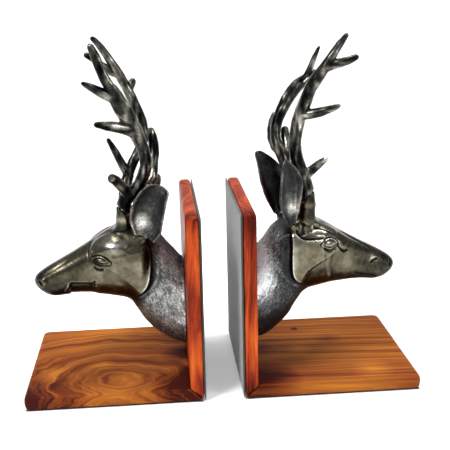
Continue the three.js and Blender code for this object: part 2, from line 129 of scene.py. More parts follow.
def line_field(at, points):
    """For each place: how far from a line, the same with a sign (plus on its left), and how far along."""
    line = curve_through(points)
    spans = np.linalg.norm(np.diff(line, axis=0), axis=1)
    nearest = np.full(len(at), 1e9)
    signed = np.zeros(len(at))
    along = np.zeros(len(at))
    start = 0
    for a, b, span in zip(line, line[1:], spans):
        d = (b - a) / span
        t = np.clip((at - a) @ d, 0, span)
        off = at - (a + t[:, None] * d)
        distance = np.hypot(off[:, 0], off[:, 1])
        closer = distance < nearest
        nearest = np.where(closer, distance, nearest)
        signed = np.where(closer, distance * np.sign(d[0] * off[:, 1] - d[1] * off[:, 0]), signed)
        along = np.where(closer, (start + t) / spans.sum(), along)
        start += span
    return nearest, signed, along


def ends(along, taper):
    return smoothstep(0, taper, along) * smoothstep(0, taper, 1 - along)


def shifted(points, reach, height):
    return [(a + reach, b + height) for a, b in points]


# ---------- sculpting strokes: each gives the height added at places in reach and height ----------
def crease(at, points, height, width, taper=0.15):
    distance, _, along = line_field(at, points)
    return height * np.exp(-((distance / width) ** 2)) * ends(along, taper)


def step(at, points, height, width, fade, side, taper=0.15):
    """Ground raised on one side of a line (side is 1 for its left, -1 for its right) that dies away."""
    _, signed, along = line_field(at, points)
    inside = side * signed
    dying = np.exp(-np.maximum(inside, 0) / fade)
    return height * smoothstep(-width, width, inside) * dying * ends(along, taper)


def bump(at, centre, radii, height, turn=0):
    c, s = math.cos(math.radians(turn)), math.sin(math.radians(turn))
    off = at - np.array(centre)
    a = (off[:, 0] * c + off[:, 1] * s) / radii[0]
    b = (off[:, 1] * c - off[:, 0] * s) / radii[1]
    return height * np.exp(-(a * a + b * b))


def eye(at, centre, length, opening, turn):
    """An almond eye: a ball between two lids, with a fold round them. Length and opening are half sizes."""
    c, s = math.cos(math.radians(turn)), math.sin(math.radians(turn))
    off = at - np.array(centre)
    a = np.abs(off[:, 0] * c + off[:, 1] * s)
    b = off[:, 1] * c - off[:, 0] * s
    lid = np.where(b > 0, 1.15, 0.85) * opening
    beside = np.abs(b) - lid * (1 - np.minimum(a / length, 1) ** 2)
    outside = np.where(a < length, beside, np.hypot(a - length, b))
    ball = 1.5 * np.sqrt(np.clip(1 - (a / length) ** 2 - (b / (1.3 * lid)) ** 2, 0, 1)) * (outside < 0.6)
    slit = -1.3 * np.exp(-(((outside + 0.35) / 0.5) ** 2))
    upper = np.where(b > 0, 1.0, 0.6)
    lids = 0.7 * upper * np.exp(-(((outside - 0.75) / 0.6) ** 2))
    fold = -0.7 * upper * np.exp(-(((outside - 2.0) / 0.8) ** 2))
    return ball + slit + lids + fold


def left_face(at):
    """The face of the left unit: full brow over a small eye, an open-cornered mouth, a rounded cheek."""
    reach, height = at.T
    jaw = [(36.1, 137), (33.4, 125.2), (32.8, 116.5), (33.4, 105.2), (35, 96.8), (39, 89.8), (46.9, 82.8)]
    bridge = [(136, 102.4), (118.2, 113.1), (104.4, 122.1), (96.2, 127.4), (88.9, 131.7)]
    brow = [(63.3, 144.9), (72, 141), (81.6, 135.6), (86.6, 130.9), (88.6, 126), (88.2, 121.2), (85.5, 116)]
    mouth = [(111.9, 87), (108.3, 92.4), (107.2, 96.6), (100.4, 96.9), (93.3, 97), (85.3, 97.4)]
    total = step(at, bridge, 0.4, 1.2, 9, -1) + crease(at, shifted(bridge, 0, -1.6), -0.3, 1.3)
    total += step(at, brow, 1.3, 1.3, 9, -1, 0.2) + crease(at, shifted(brow, 1.3, 0.6), -0.3, 1.3)
    total += bump(at, (68, 132.5), (13, 6), 2.0, -12)
    total += crease(at, [(55, 128), (62, 126), (70, 125.2)], -0.3, 1.9)
    total += eye(at, (78.6, 120.2), 7.0, 2.4, 12)
    total += crease(at, [(86.4, 115.0), (82.1, 112.2), (76, 112.4)], -0.8, 1.2)
    total += crease(at, [(60.5, 148), (56.5, 139), (52, 131)], -0.7, 4.2)
    total += bump(at, (46, 118), (10, 15), 1.0)
    lower_lip = smoothstep(-0.6, 0.6, 107.6 - reach) * smoothstep(-0.5, 0.5, 96.5 - height)
    total -= 1.5 * lower_lip * smoothstep(0, 9, reach - 80)
    total += crease(at, mouth, -1.3, 0.75, 0.06) + crease(at, [(85.3, 100.4), (85, 94)], -1.0, 0.9)
    total += crease(at, [(113.4, 88), (110, 93.4), (109.2, 97.6)], 0.8, 0.9)
    total += crease(at, [(137.2, 99.2), (135.4, 96.8), (134, 94)], -1.6, 0.9)
    total += crease(at, [(134, 101.2), (131.8, 98), (131.6, 95)], 0.7, 1.3)
    total += step(at, jaw, 2.2, 1.0, 20, 1, 0.12) - step(at, jaw, 1.6, 1.0, 5, -1, 0.12)
    return total


def right_face(at):
    """The face of the right unit: a flat cheek plate under a sharp cheekbone, a larger eye and a tear pit."""
    bridge = [(80, 134.4), (94.2, 125.1), (106.6, 117.9), (118, 110.4)]
    cheekbone = [(38.5, 141), (42.6, 134.6), (47.3, 131.9), (55.2, 131.6), (65.5, 131.8)]
    jaw = [(36.4, 140), (36, 128.7), (35.4, 116.6), (35.6, 103.1), (37.4, 96), (41.5, 91), (48, 88.4)]
    cheek = [(75.3, 121), (72.2, 114.3), (70.8, 106), (72.3, 97.2), (74.4, 90)]
    tear = [(78.4, 127.2), (81.4, 120.9), (85.6, 117.6), (91, 117.6)]
    total = crease(at, bridge, 0.5, 1.0, 0.3) + crease(at, shifted(bridge, 0.6, 2), -0.6, 1.1, 0.2)
    total += step(at, cheekbone, 1.9, 0.7, 12, -1, 0.08) - step(at, cheekbone, 1.0, 0.7, 4, 1, 0.08)
    total += crease(at, [(48.6, 147), (46.2, 140.5), (47.4, 135.4)], -1.3, 3.6)
    brow_ridge = crease(at, [(51.5, 137.4), (60.4, 139.4), (70.5, 136)], 1.1, 0.8)
    total += brow_ridge + bump(at, (60, 135), (8, 2.2), 0.8, -6)
    total += crease(at, [(55.5, 142.8), (65, 139.6), (73, 135.9), (80, 131.4)], -1.1, 0.9)
    total += crease(at, [(57, 145.4), (66, 142.2), (75, 137.8), (82, 133)], 0.9, 1.1)
    total += eye(at, (70.4, 126.4), 7.4, 3.6, -3)
    total += crease(at, [(63.2, 124.9), (69.8, 119.9), (77, 121.6)], -0.7, 0.8)
    total += crease(at, tear, -1.4, 1.1) + crease(at, [(80.6, 128.4), (84, 122.6), (89, 120.2)], 0.4, 1.2)
    total += step(at, cheek, 0.9, 3.0, 16, -1, 0.2) + crease(at, cheek, -0.5, 2.4, 0.2)
    total += step(at, jaw, 2.2, 1.2, 20, 1, 0.1) - step(at, jaw, 0.9, 1.2, 5, -1, 0.1)
    total += crease(at, [(111.6, 103.4), (116.8, 106.1), (121.4, 107)], 0.6, 1.1)
    total += crease(at, [(113, 101.8), (117.8, 104.2), (122, 105)], -1.0, 0.9)
    total += crease(at, [(137, 103), (135, 98.6), (134.4, 95)], -1.4, 1.2)
    total += crease(at, [(122.5, 85.4), (118.9, 87.3), (109.9, 89.6), (97.3, 92.2)], -0.9, 0.7)
    return total


FACES = {"left": left_face, "right": right_face}
JAW_BACK = {  # heights, and the reach of the jaw's rear edge at each
    "left": (
        [20, 82.8, 89.8, 96.8, 105.2, 116.5, 125.2, 137, 160],
        [70, 46.9, 39, 35, 33.4, 32.8, 33.4, 36.1, 38],
    ),
    "right": (
        [20, 86, 88.4, 91, 96, 103.1, 116.6, 140, 160],
        [70, 54, 48, 41.5, 37.4, 35.6, 35.4, 36.4, 38],
    ),
}
NECK_FOLD = {
    "left": [(25.5, 116), (24.6, 108), (27, 99), (32, 91.5), (39, 85), (46, 80.5)],
    "right": [(24.5, 108), (28.5, 101), (33, 94.6), (39, 89), (46, 84.5)],
}


# ---------- meshes as arrays ----------
def new_piece(name, mesh):
    piece = bpy.data.objects.new(name, mesh)
    bpy.context.scene.collection.objects.link(piece)
    return piece


def points_of(mesh):
    flat = np.empty(3 * len(mesh.vertices), np.float32)
    mesh.vertices.foreach_get("co", flat)
    return flat.reshape(-1, 3).astype(float) / MM


def set_points(mesh, points):
    mesh.vertices.foreach_set("co", (points * MM).astype(np.float32).ravel())
    mesh.update()


def normals_of(mesh):
    flat = np.empty(3 * len(mesh.vertices), np.float32)
    mesh.vertex_normals.foreach_get("vector", flat)
    return flat.reshape(-1, 3).astype(float)


def edges_of(mesh):
    flat = np.empty(2 * len(mesh.edges), np.int32)
    mesh.edges.foreach_get("vertices", flat)
    return flat.reshape(-1, 2)


def set_attribute(mesh, name, values):
    kind = "FLOAT" if values.ndim == 1 else "FLOAT_VECTOR"
    attribute = mesh.attributes.new(name, kind, "POINT")
    field = "value" if values.ndim == 1 else "vector"
    attribute.data.foreach_set(field, values.astype(np.float32).ravel())


def neighbour_mean(values, edges):
    a, b = edges.T
    count = len(values)
    degree = np.bincount(a, minlength=count) + np.bincount(b, minlength=count)
    columns = [np.bincount(a, v[b], count) + np.bincount(b, v[a], count) for v in values.reshape(count, -1).T]
    return (np.stack(columns, 1) / np.maximum(degree, 1)[:, None]).reshape(values.shape)


def smoothed(values, edges, rounds, mask=None):
    share = 0.5 if mask is None else 0.5 * mask
    if values.ndim > 1 and mask is not None:
        share = share[:, None]
    for _ in range(rounds):
        values = values + share * (neighbour_mean(values, edges) - values)
    return values


def fair(points, edges, rounds, mask=None):
    """Smooths facets away, then gives back the size that smoothing alone would lose."""
    result = smoothed(points, edges, rounds, mask)
    for _ in range(2):
        result = result + smoothed(points - result, edges, rounds, mask)
    return result


def cavity_of(mesh):
    """Below zero in hollows and above it on ridges."""
    points, edges = points_of(mesh), edges_of(mesh)
    normals = normals_of(mesh)
    fine = np.einsum("ij,ij->i", points - smoothed(points, edges, 3), normals)
    broad = np.einsum("ij,ij->i", points - smoothed(points, edges, 24), normals)
    depth = smoothed(4.0 * fine + 1.6 * broad, edges, 2)
    return np.where(depth > 0, 0.5 * depth, depth)


def welded(mesh):
    work = bmesh.new()
    work.from_mesh(mesh)
    bmesh.ops.remove_doubles(work, verts=work.verts, dist=1e-6)
    work.to_mesh(mesh)
    work.free()
    return mesh


def with_modifiers_applied(piece):
    graph = bpy.context.evaluated_depsgraph_get()
    graph.update()
    mesh = bpy.data.meshes.new_from_object(piece.evaluated_get(graph))
    piece.modifiers.clear()
    piece.data = mesh
    return piece


def remeshed(piece, voxel):
    modifier = piece.modifiers.new("remesh", "REMESH")
    modifier.mode = "VOXEL"
    modifier.voxel_size = voxel * MM
    return with_modifiers_applied(piece)


def copy_of(node, voxel):
    mesh = welded(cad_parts[node].data.copy())
    mesh.materials.clear()
    return remeshed(new_piece(f"{node}_bronze", mesh), voxel)


def in_unit(points, unit):
    """From the pair's axes to a unit's own, or back, since the left unit is turned half round."""
    return points * np.array([OUTWARD[unit], OUTWARD[unit], 1])


def in_straight_head(points, unit):
    """Reach, side and height on a head that looks straight ahead."""
    pose = HEAD_POSES[unit]
    turn, tilt = math.radians(-pose["turn"]), math.radians(-pose["tilt"])
    x, y, z = (in_unit(points, unit) - PIVOT).T
    x, y = x * math.cos(turn) - y * math.sin(turn), x * math.sin(turn) + y * math.cos(turn)
    x, z = x * math.cos(tilt) + z * math.sin(tilt), z * math.cos(tilt) - x * math.sin(tilt)
    return np.stack([x / pose["reach"] + PIVOT[0] - INNER_FACE, y, z + PIVOT[2]], 1)


# ---------- nodes of a material ----------
def new_material(name):
    material = bpy.data.materials.new(name)
    material.use_nodes = True
    tree = material.node_tree
    shader = tree.nodes["Principled BSDF"]
    return material, tree, shader


def put(tree, socket, value):
    if isinstance(value, bpy.types.NodeSocket):
        tree.links.new(value, socket)
    else:
        socket.default_value = value


def node(tree, kind, inputs=(), **settings):
    made = tree.nodes.new(kind)
    for key, value in settings.items():
        setattr(made, key, value)
    for key, value in dict(inputs).items():
        put(tree, made.inputs[key], value)
    return made


def calc(tree, operation, a, b=0.0, clamp=False):
    return node(tree, "ShaderNodeMath", {0: a, 1: b}, operation=operation, use_clamp=clamp).outputs[0]


def vector_calc(tree, operation, a, b):
    made = node(tree, "ShaderNodeVectorMath", {0: a, 1: b}, operation=operation)
    return made.outputs["Value" if operation == "LENGTH" else "Vector"]


def noise_of(tree, vector, scale, detail=3.0, roughness=0.5, distortion=0.0):
    inputs = {"Vector": vector, "Scale": scale, "Detail": detail}
    inputs.update({"Roughness": roughness, "Distortion": distortion})
    return node(tree, "ShaderNodeTexNoise", inputs).outputs["Fac"]


def ramp(tree, value, stops):
    made = node(tree, "ShaderNodeValToRGB", {0: value})
    points = made.color_ramp.elements
    while len(points) < len(stops):
        points.new(0.5)
    for point, (place, colour) in zip(points, stops):
        point.position = place
        point.color = (*colour, 1)
    return made.outputs["Color"]


def spread(tree, value, low, high, to_low=0.0, to_high=1.0):
    inputs = {"Value": value, "From Min": low, "From Max": high, "To Min": to_low, "To Max": to_high}
    return node(tree, "ShaderNodeMapRange", inputs, clamp=True).outputs["Result"]


def blend_colours(tree, share, a, b):
    made = node(tree, "ShaderNodeMix", {}, data_type="RGBA")
    put(tree, made.inputs[0], share)
    put(tree, made.inputs[6], a)
    put(tree, made.inputs[7], b)
    return made.outputs[2]


def bumped(tree, height, distance, under=None):
    inputs = {"Height": height, "Distance": distance, "Strength": 1.0}
    if under is not None:
        inputs["Normal"] = under
    return node(tree, "ShaderNodeBump", inputs).outputs["Normal"]


def attribute(tree, name, output="Fac"):
    return node(tree, "ShaderNodeAttribute", {}, attribute_name=name).outputs[output]


# ---------- materials ----------
OLIVE_PATINA = [  # from the hollows to what is rubbed bright or painted as a highlight
    (0.0, (0.003, 0.003, 0.003)), (0.28, (0.022, 0.021, 0.016)), (0.52, (0.09, 0.08, 0.053)),
    (0.76, (0.2, 0.19, 0.145)), (1.0, (0.66, 0.67, 0.64)),
]
SILVERY_PATINA = [
    (0.0, (0.003, 0.003, 0.005)), (0.3, (0.022, 0.025, 0.029)), (0.55, (0.11, 0.116, 0.12)),
    (0.8, (0.34, 0.35, 0.35)), (1.0, (0.72, 0.75, 0.77)),
]


def bronze_material():
    """Old cast bronze: olive-brown, nearly black in the hollows and rubbed bright on what stands proud, with
    painted highlights and painted shade from the tone attribute added on top.
    """
    material, tree, shader = new_material("patinated_bronze")
    place = node(tree, "ShaderNodeTexCoord").outputs["Object"]
    # tone carries painted highlights and painted shade; cavity is the patina's own hollows and ridges
    cavity = calc(tree, "ADD", attribute(tree, "cavity"), attribute(tree, "tone"))
    hair = attribute(tree, "hair")
    flow = attribute(tree, "flow", "Vector")
    clouds = noise_of(tree, place, 45, 4, 0.6)
    mottle = noise_of(tree, place, 260, 3, 0.6)
    strands = noise_of(tree, flow, 1.0, 3, 0.65)
    flecks = noise_of(tree, place, 620, 3, 0.7)
    wear_and_painted_light = node(tree, "ShaderNodeMath", {0: cavity, 1: 0.5, 2: 0.5}, operation="MULTIPLY_ADD").outputs[0]
    wear_and_painted_light = calc(tree, "ADD", wear_and_painted_light, spread(tree, clouds, 0.3, 0.7, -0.15, 0.15))
    wear_and_painted_light = calc(tree, "ADD", wear_and_painted_light, spread(tree, mottle, 0.3, 0.7, -0.06, 0.06))
    strand_wear = spread(tree, strands, 0.3, 0.7, -0.13, 0.13)
    fleck_wear = spread(tree, flecks, 0.35, 0.65, -0.2, 0.2)
    in_hair = calc(tree, "MULTIPLY", hair, calc(tree, "ADD", strand_wear, fleck_wear))
    wear_and_painted_light = calc(tree, "ADD", wear_and_painted_light, in_hair, clamp=True)
    colour = blend_colours(tree, hair, ramp(tree, wear_and_painted_light, OLIVE_PATINA), ramp(tree, wear_and_painted_light, SILVERY_PATINA))
    put(tree, shader.inputs["Base Color"], colour)
    rubbed = spread(tree, wear_and_painted_light, 0.1, 0.9, 0.33, 0.17)
    roughness = calc(tree, "ADD", rubbed, calc(tree, "MULTIPLY", hair, 0.12))
    uneven = spread(tree, mottle, 0.3, 0.7, -0.04, 0.04)
    put(tree, shader.inputs["Roughness"], calc(tree, "ADD", roughness, uneven))
    put(tree, shader.inputs["Metallic"], spread(tree, hair, 0.3, 1.0, 1.0, 0.5))
    cast_skin = bumped(tree, mottle, 0.00012)
    fine = bumped(tree, noise_of(tree, place, 1400, 2, 0.5), 0.00003, under=cast_skin)
    hairs = calc(tree, "MULTIPLY", calc(tree, "ADD", strands, flecks), hair)
    put(tree, shader.inputs["Normal"], bumped(tree, hairs, 0.00022, under=fine))
    return material


def near_point(tree, place, point, radius):
    """One at a place given in millimetres, falling to zero at a distance."""
    offset = vector_calc(tree, "SUBTRACT", place, tuple(x * MM for x in point))
    return spread(tree, vector_calc(tree, "LENGTH", offset, (0, 0, 0)), 0, radius * MM, 1, 0)


def along_rings(tree, off, rings, along, across):
    """A place for a texture that is drawn out along the growth rings and changes quickly across them."""
    quick = node(tree, "ShaderNodeCombineXYZ", {"X": calc(tree, "MULTIPLY", rings, across)}).outputs["Vector"]
    slow = vector_calc(tree, "MULTIPLY", off, (along, along, along))
    return vector_calc(tree, "ADD", quick, slow)


def growth_rings(tree, off, pull):
    """How far out from the heart a place is, along rings that wander a little."""
    stretched = vector_calc(tree, "MULTIPLY", off, pull)
    drift = node(tree, "ShaderNodeTexNoise", {"Vector": stretched, "Scale": 22.0, "Detail": 3.0})
    wander = vector_calc(tree, "SUBTRACT", drift.outputs["Color"], (0.5, 0.5, 0.5))
    wander = vector_calc(tree, "MULTIPLY", wander, (0.03, 0.03, 0.03))
    rings = vector_calc(tree, "LENGTH", vector_calc(tree, "ADD", stretched, wander), (0, 0, 0))
    return rings, noise_of(tree, stretched, 60, 2)


def wood_figure(tree, off, pull):
    """How light the wood's own rings and streaks make a place, and the fibres on their own."""
    rings, uneven = growth_rings(tree, off, pull)
    phase = calc(tree, "ADD", calc(tree, "MULTIPLY", rings, 1500.0), calc(tree, "MULTIPLY", uneven, 7.0))
    fine_rings = calc(tree, "MULTIPLY", calc(tree, "SINE", phase), 0.05)
    broad_phase = calc(tree, "SUBTRACT", calc(tree, "MULTIPLY", rings, 262.0), 1.31)
    broad_rings = calc(tree, "MULTIPLY", calc(tree, "SINE", broad_phase), 0.06)
    streaks = noise_of(tree, along_rings(tree, off, rings, 12.0, 210.0), 1.0, 4, 0.6)
    fibres = noise_of(tree, along_rings(tree, off, rings, 60.0, 1100.0), 1.0, 3, 0.6)
    value = calc(tree, "ADD", fine_rings, broad_rings)
    value = calc(tree, "ADD", value, spread(tree, streaks, 0.3, 0.7, 0.12, 0.66))
    value = calc(tree, "ADD", value, spread(tree, fibres, 0.3, 0.7, -0.09, 0.09))
    return value, fibres


def wood_material(name, heart, pull, tone, patches):
    """Oiled rosewood-like timber. The rings lie round the heart, and pull is how much each axis counts.

    Each patch is a place, a radius and how much lighter (or, below zero, darker) the wood is made in it,
    either as its own figure or as painted shade or painted light.
    """
    material, tree, shader = new_material(name)
    place = node(tree, "ShaderNodeTexCoord").outputs["Object"]
    off = vector_calc(tree, "SUBTRACT", place, tuple(x * MM for x in heart))
    value, fibres = wood_figure(tree, off, pull)
    for point, radius, lighter in patches:
        change = calc(tree, "MULTIPLY", near_point(tree, place, point, radius), lighter)
        value = calc(tree, "ADD", value, change)
    colour = ramp(tree, calc(tree, "ADD", value, 0.0, clamp=True), [
        (0.0, tone["dark"]), (0.3, tone["brown"]), (0.58, tone["middle"]), (0.95, tone["gold"]),
    ])
    put(tree, shader.inputs["Base Color"], colour)
    put(tree, shader.inputs["Roughness"], spread(tree, fibres, 0.3, 0.7, 0.3, 0.44))
    shader.inputs["Specular IOR Level"].default_value = 0.03
    shader.inputs["Coat Weight"].default_value = 0.03
    shader.inputs["Coat Roughness"].default_value = 0.1
    grain = bumped(tree, fibres, 0.00006)
    planed = bumped(tree, noise_of(tree, off, 55, 2), 0.0004, under=grain)
    put(tree, shader.inputs["Normal"], planed)
    return material


def felt_material():
    material, tree, shader = new_material("black_felt")
    place = node(tree, "ShaderNodeTexCoord").outputs["Object"]
    fuzz = noise_of(tree, place, 1500, 4, 0.7, 0.8)
    patches = noise_of(tree, place, 60, 3)
    shade = calc(tree, "ADD", calc(tree, "MULTIPLY", fuzz, 0.7), calc(tree, "MULTIPLY", patches, 0.3))
    colour = ramp(tree, shade, [(0.3, (0.006, 0.006, 0.007)), (0.7, (0.028, 0.026, 0.028))])
    put(tree, shader.inputs["Base Color"], colour)
    shader.inputs["Roughness"].default_value = 0.95
    shader.inputs["Sheen Weight"].default_value = 0.35
    put(tree, shader.inputs["Normal"], bumped(tree, fuzz, 0.0003))
    return material


def steel_material():
    material, tree, shader = new_material("turned_steel")
    place = node(tree, "ShaderNodeTexCoord").outputs["Object"]
    lines = noise_of(tree, vector_calc(tree, "MULTIPLY", place, (4000.0, 700.0, 700.0)), 1.0, 2)
    stains = noise_of(tree, place, 300, 3)
    tint = ramp(tree, stains, [(0.3, (0.33, 0.32, 0.3)), (0.7, (0.6, 0.59, 0.57))])
    put(tree, shader.inputs["Base Color"], tint)
    put(tree, shader.inputs["Roughness"], spread(tree, lines, 0.3, 0.7, 0.24, 0.42))
    shader.inputs["Metallic"].default_value = 1.0
    put(tree, shader.inputs["Normal"], bumped(tree, lines, 0.00002))
    return material


# ---------- camera, floor and light ----------
def add_camera():
    """Stands in front and a little to the left, looking down, with the object off the lens axis."""
    yaw, pitch, roll = (math.radians(x) for x in (3.34, 15.42, -1.70))
    data = bpy.data.cameras.new("camera")
    data.sensor_width = 36
    data.lens = 65.38
    data.shift_x = 0.0444
    data.shift_y = -0.0133
    data.clip_end = 200
    camera = new_piece("camera", data)
    ahead = Vector((math.sin(yaw) * math.cos(pitch), math.cos(yaw) * math.cos(pitch), -math.sin(pitch)))
    level = Vector((math.cos(yaw), -math.sin(yaw), 0))
    above = level.cross(ahead)
    across = level * math.cos(roll) + above * math.sin(roll)
    upward = above * math.cos(roll) - level * math.sin(roll)
    turned = Matrix((across, upward, -ahead)).transposed().to_4x4()
    camera.matrix_world = Matrix.Translation(Vector((-52.0134, -735.1357, 352.3252)) * MM) @ turned
    bpy.context.scene.camera = camera


def add_floor():
    """A round pale floor that curves up into a low wall all the way round."""
    flat, rise, sides = 9.0, 2.4, 96
    bend = [(flat + rise * math.sin(t), rise * (1 - math.cos(t))) for t in np.linspace(0, math.pi / 2, 12)]
    rings = [(0.6, 0), (3, 0), *bend]
    circle = [(math.cos(2 * math.pi * k / sides), math.sin(2 * math.pi * k / sides)) for k in range(sides)]
    vertices = [(0, 0, 0)] + [(radius * x, radius * y, height) for radius, height in rings for x, y in circle]
    faces = [(0, 1 + k, 1 + (k + 1) % sides) for k in range(sides)]
    for ring in range(len(rings) - 1):
        low, high = 1 + ring * sides, 1 + (ring + 1) * sides
        faces += [(low + k, high + k, high + (k + 1) % sides, low + (k + 1) % sides) for k in range(sides)]
    mesh = bpy.data.meshes.new("floor")
    mesh.from_pydata(vertices, [], faces)
    mesh.shade_smooth()
    floor = new_piece("floor", mesh)
    material, tree, shader = new_material("pale_floor")
    place = node(tree, "ShaderNodeTexCoord").outputs["Object"]
    tint = ramp(tree, noise_of(tree, place, 3, 3), [(0.3, (0.9, 0.9, 0.895)), (0.7, (0.93, 0.93, 0.93))])
    put(tree, shader.inputs["Base Color"], tint)
    shader.inputs["Roughness"].default_value = 0.8
    away = vector_calc(tree, "LENGTH", place, (0, 0, 0))
    shader.inputs["Emission Color"].default_value = (1, 1, 1, 1)
    put(tree, shader.inputs["Emission Strength"], spread(tree, away, 0.8, 5, 0.06, 0.75))
    mesh.materials.append(material)


def area_light(name, place, target, width, height, watts, colour=(1, 1, 1)):
    data = bpy.data.lights.new(name, "AREA")
    data.shape = "RECTANGLE"
    data.size = width
    data.size_y = height
    data.energy = watts
    data.color = colour
    lamp = new_piece(name, data)
    lamp.location = place
    lamp.rotation_euler = (Vector(target) - Vector(place)).to_track_quat("-Z", "Y").to_euler()


def add_world():
    """Bright overhead and dim round the sides, so that the bronze has dark to reflect as well as light."""
    world = bpy.data.worlds.new("studio")
    world.use_nodes = True
    tree = world.node_tree
    direction = node(tree, "ShaderNodeTexCoord").outputs["Generated"]
    height = node(tree, "ShaderNodeSeparateXYZ", {0: direction}).outputs["Z"]
    glow = ramp(tree, height, [
        (0.0, (0.12, 0.12, 0.12)), (0.3, (0.22, 0.22, 0.225)), (0.85, (0.75, 0.75, 0.77)),
    ])
    put(tree, tree.nodes["Background"].inputs["Color"], glow)
    bpy.context.scene.world = world


def add_lights():
    add_world()
    area_light("key", (-0.9, -0.7, 1.5), (0, 0, 0.12), 0.5, 0.5, 34, (1, 0.99, 0.97))
    area_light("fill", (1.1, -0.9, 0.9), (0, 0, 0.15), 0.5, 0.7, 10, (0.94, 0.97, 1))
    area_light("overhead", (0.1, 0.3, 1.7), (0, 0, 0.1), 1.2, 0.5, 24)


# ---------- boards and felt ----------
def board(node_name, unit, far_axis, material):
    """The CAD board with its free edges well rounded over. far_axis runs from the mitre to the free end."""
    mesh = welded(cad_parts[node_name].data.copy())
    mesh.materials.clear()
    piece = remeshed(new_piece(f"{node_name}_wood", mesh), BOARD_VOXEL)
    mesh = piece.data
    points, edges = points_of(mesh), edges_of(mesh)
    low, high = (1000 * np.array(corner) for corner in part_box(node_name))
    mine, far = in_unit(points, unit), high[2]
    if far_axis == 0:
        far = max(abs(low[0]), abs(high[0]))
    from_side = high[1] - np.abs(points[:, 1])
    from_end = far - mine[:, far_axis]
    from_mitre = np.abs((mine[:, 0] - BOOK_FACE) - (mine[:, 2] - UNDERSIDE)) / math.sqrt(2)
    free = 1 - smoothstep(7, 11, np.minimum(from_side, from_end))
    set_points(mesh, smoothed(points, edges, BOARD_ROUNDING, free * smoothstep(1.5, 6, from_mitre)))
    mesh.shade_smooth()
    mesh.set_sharp_from_angle(angle=math.radians(32))
    mesh.materials.append(material)
    weighted = piece.modifiers.new("even_normals", "WEIGHTED_NORMAL")
    weighted.keep_sharp = True
    dress(piece, unit, "wood", node_name)


def felt_sheet(node_name, unit, thin_axis, material, seed):
    """A glued felt lining: a thin closed sheet with soft edges and a slightly uneven nap."""
    low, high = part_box(node_name)
    axes = [axis for axis in range(3) if axis != thin_axis]
    cell = 3 * MM
    counts = [max(2, round((high[axis] - low[axis]) / cell)) for axis in axes]
    grid = [np.linspace(low[axis], high[axis], count + 1) for axis, count in zip(axes, counts)]
    a, b = np.meshgrid(*grid, indexing="ij")
    margin = np.minimum.reduce([a - grid[0][0], grid[0][-1] - a, b - grid[1][0], grid[1][-1] - b]) / MM
    middle = (low[thin_axis] + high[thin_axis]) / 2
    half = (high[thin_axis] - low[thin_axis]) / 2
    nap = noise(np.stack([a.ravel(), b.ravel(), 0 * a.ravel()], 1) / MM, 5, seed).reshape(a.shape)
    thick = half * (1 - 0.55 * np.exp(-margin / 0.7) - 0.05 * (1 + nap))
    vertices = []
    for side in (1, -1):
        layer = np.empty((*a.shape, 3))
        layer[..., axes[0]] = a
        layer[..., axes[1]] = b
        layer[..., thin_axis] = middle + side * thick
        vertices.append(layer.reshape(-1, 3))
    index = np.arange(a.size).reshape(a.shape)
    quads = np.stack([index[:-1, :-1], index[1:, :-1], index[1:, 1:], index[:-1, 1:]], -1).reshape(-1, 4)
    rim = np.r_[index[:-1, 0], index[-1, :-1], index[:0:-1, -1], index[0, :0:-1]]
    walls = np.stack([rim, rim + a.size, np.roll(rim, -1) + a.size, np.roll(rim, -1)], 1)
    faces = np.vstack([quads, quads[:, ::-1] + a.size, walls])
    mesh = bpy.data.meshes.new(f"{node_name}_sheet")
    mesh.from_pydata(np.vstack(vertices).tolist(), [], faces.tolist())
    outward_faces(mesh)
    mesh.shade_smooth()
    mesh.materials.append(material)
    piece = new_piece(f"{node_name}_sheet", mesh)
    dress(piece, unit, "felt", node_name)


def outward_faces(mesh):
    work = bmesh.new()
    work.from_mesh(mesh)
    bmesh.ops.recalc_face_normals(work, faces=work.faces)
    work.to_mesh(mesh)
    work.free()


def dress(piece, unit, slot, *replaced):
    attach(piece, f"{unit}_bookend")
    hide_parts(*replaced)


# ---------- heads ----------
def seat_of(node_name, unit):
    """The middle of a stud, which is where the antler meets its pedicle, in the unit's axes."""
    low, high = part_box(node_name)
    return in_unit(np.array((low + high) / 2)[None] / MM, unit)[0]


def softening(points, unit):
    """How freely each place may be smoothed: not at the board or the antlers' seats, little at the ears."""
    mine = in_unit(points, unit)
    mask = smoothstep(0.6, 7, mine[:, 0] - INNER_FACE)
    for side in ("front", "rear"):
        away = np.linalg.norm(mine - seat_of(f"{unit}_{side}_antler_stud", unit), axis=1)
        mask *= smoothstep(7.5, 14, away)
    for ear in EARS[unit]:
        away = np.linalg.norm(mine - boss_of(ear)[0], axis=1)
        mask *= 0.2 + 0.8 * smoothstep(5, 13, away)
    return mask


def pedicle_foot(points, unit):
    """Where the pedicles and the ear bosses run out into the skull."""
    mine = in_unit(points, unit)
    foot = np.zeros(len(points))
    for side in ("front", "rear"):
        below = np.linalg.norm(mine - seat_of(f"{unit}_{side}_antler_stud", unit), axis=1)
        foot = np.maximum(foot, smoothstep(8, 14, below) * (1 - smoothstep(28, 38, below)))
    for ear in EARS[unit]:
        away = np.linalg.norm(mine - boss_of(ear)[0], axis=1)
        foot = np.maximum(foot, smoothstep(2, 5, away) * (1 - smoothstep(15, 22, away)))
    return foot


def along_pedicle(points, unit):
    """How surely a place is on a pedicle, and how far it is below the seat."""
    mine = in_unit(points, unit)
    share = np.zeros(len(points))
    depth = np.zeros(len(points))
    for side in ("front", "rear"):
        off = mine - seat_of(f"{unit}_{side}_antler_stud", unit)
        here = (1 - smoothstep(9, 13, np.hypot(off[:, 0], off[:, 1]))) * smoothstep(-30, -16, off[:, 2])
        depth = np.where(here > share, -off[:, 2], depth)
        share = np.maximum(share, here)
    return share, depth


